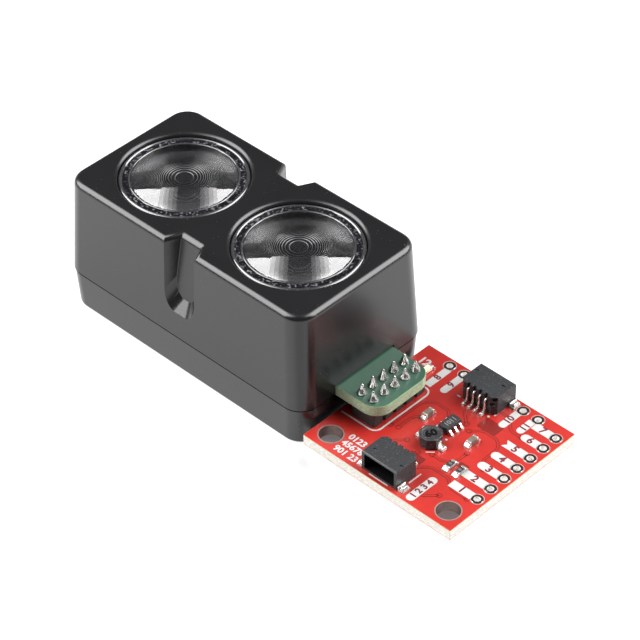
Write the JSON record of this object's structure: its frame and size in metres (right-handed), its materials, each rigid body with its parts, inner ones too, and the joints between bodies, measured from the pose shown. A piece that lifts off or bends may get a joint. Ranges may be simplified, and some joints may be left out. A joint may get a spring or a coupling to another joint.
{
  "type": "lidar scanner module",
  "caption": "Time-of-flight range module: a black housing with side-by-side transmit and receive lenses, a header tab, and a breakout board with cable sockets.",
  "frame": {"origin": "centre of the rear cover's flat back face", "axes": "+Z out of the lenses, +X along the housing from the transmit lens to the receive lens and on to the breakout board, Y across"},
  "size_m": [0.0707, 0.0242, 0.0212],
  "materials": {
    "housing_plastic": "satin black moulded plastic, fine grain",
    "barrel_plastic": "dull black moulded plastic",
    "lens_plastic": "clear moulded lens with ring grooves",
    "green_board": "green solder mask on glass-fibre board",
    "red_board": "red solder mask on glass-fibre board",
    "connector_plastic": "dull dark moulded plastic",
    "tinned_metal": "tin plate and solder",
    "chip_resin": "black moulded resin",
    "ceramic": "tan ceramic",
    "ferrite": "dark ferrite",
    "led_resin": "clear cream resin"
  },
  "bodies": {
    "root": {"front_housing": "housing_plastic", "rear_cover": "housing_plastic", "transmit_lens": "lens_plastic", "receive_lens": "lens_plastic", "transmit_barrel": "barrel_plastic", "receive_barrel": "barrel_plastic", "main_board": "green_board", "emitter_led": "led_resin", "power_led": "led_resin", "photodiode": "chip_resin", "amplifier_chip": "chip_resin", "driver_chip": "chip_resin", "processor_chip": "chip_resin", "converter_chip": "chip_resin", "resistor_1": "chip_resin", "resistor_2": "chip_resin", "receiver_shield": "tinned_metal", "crystal": "tinned_metal", "storage_capacitor_1": "ceramic", "storage_capacitor_2": "ceramic", "antenna": "ceramic", "capacitor_1": "ceramic", "capacitor_2": "ceramic", "header_insulator": "connector_plastic", "socket_near_housing": "connector_plastic", "socket_far_housing": "connector_plastic", "header_pin_01": "tinned_metal", "header_pin_02": "tinned_metal", "header_pin_03": "tinned_metal", "header_pin_04": "tinned_metal", "header_pin_05": "tinned_metal", "header_pin_06": "tinned_metal", "header_pin_07": "tinned_metal", "header_pin_08": "tinned_metal", "header_pin_09": "tinned_metal", "header_pin_10": "tinned_metal", "breakout_board": "red_board", "inductor": "ferrite", "socket_near_contact_1": "tinned_metal", "socket_near_contact_2": "tinned_metal", "socket_near_contact_3": "tinned_metal", "socket_near_contact_4": "tinned_metal", "socket_near_anchor_left": "tinned_metal", "socket_near_anchor_right": "tinned_metal", "socket_far_contact_1": "tinned_metal", "socket_far_contact_2": "tinned_metal", "socket_far_contact_3": "tinned_metal", "socket_far_contact_4": "tinned_metal", "socket_far_anchor_left": "tinned_metal", "socket_far_anchor_right": "tinned_metal"}
  },
  "joints": []
}
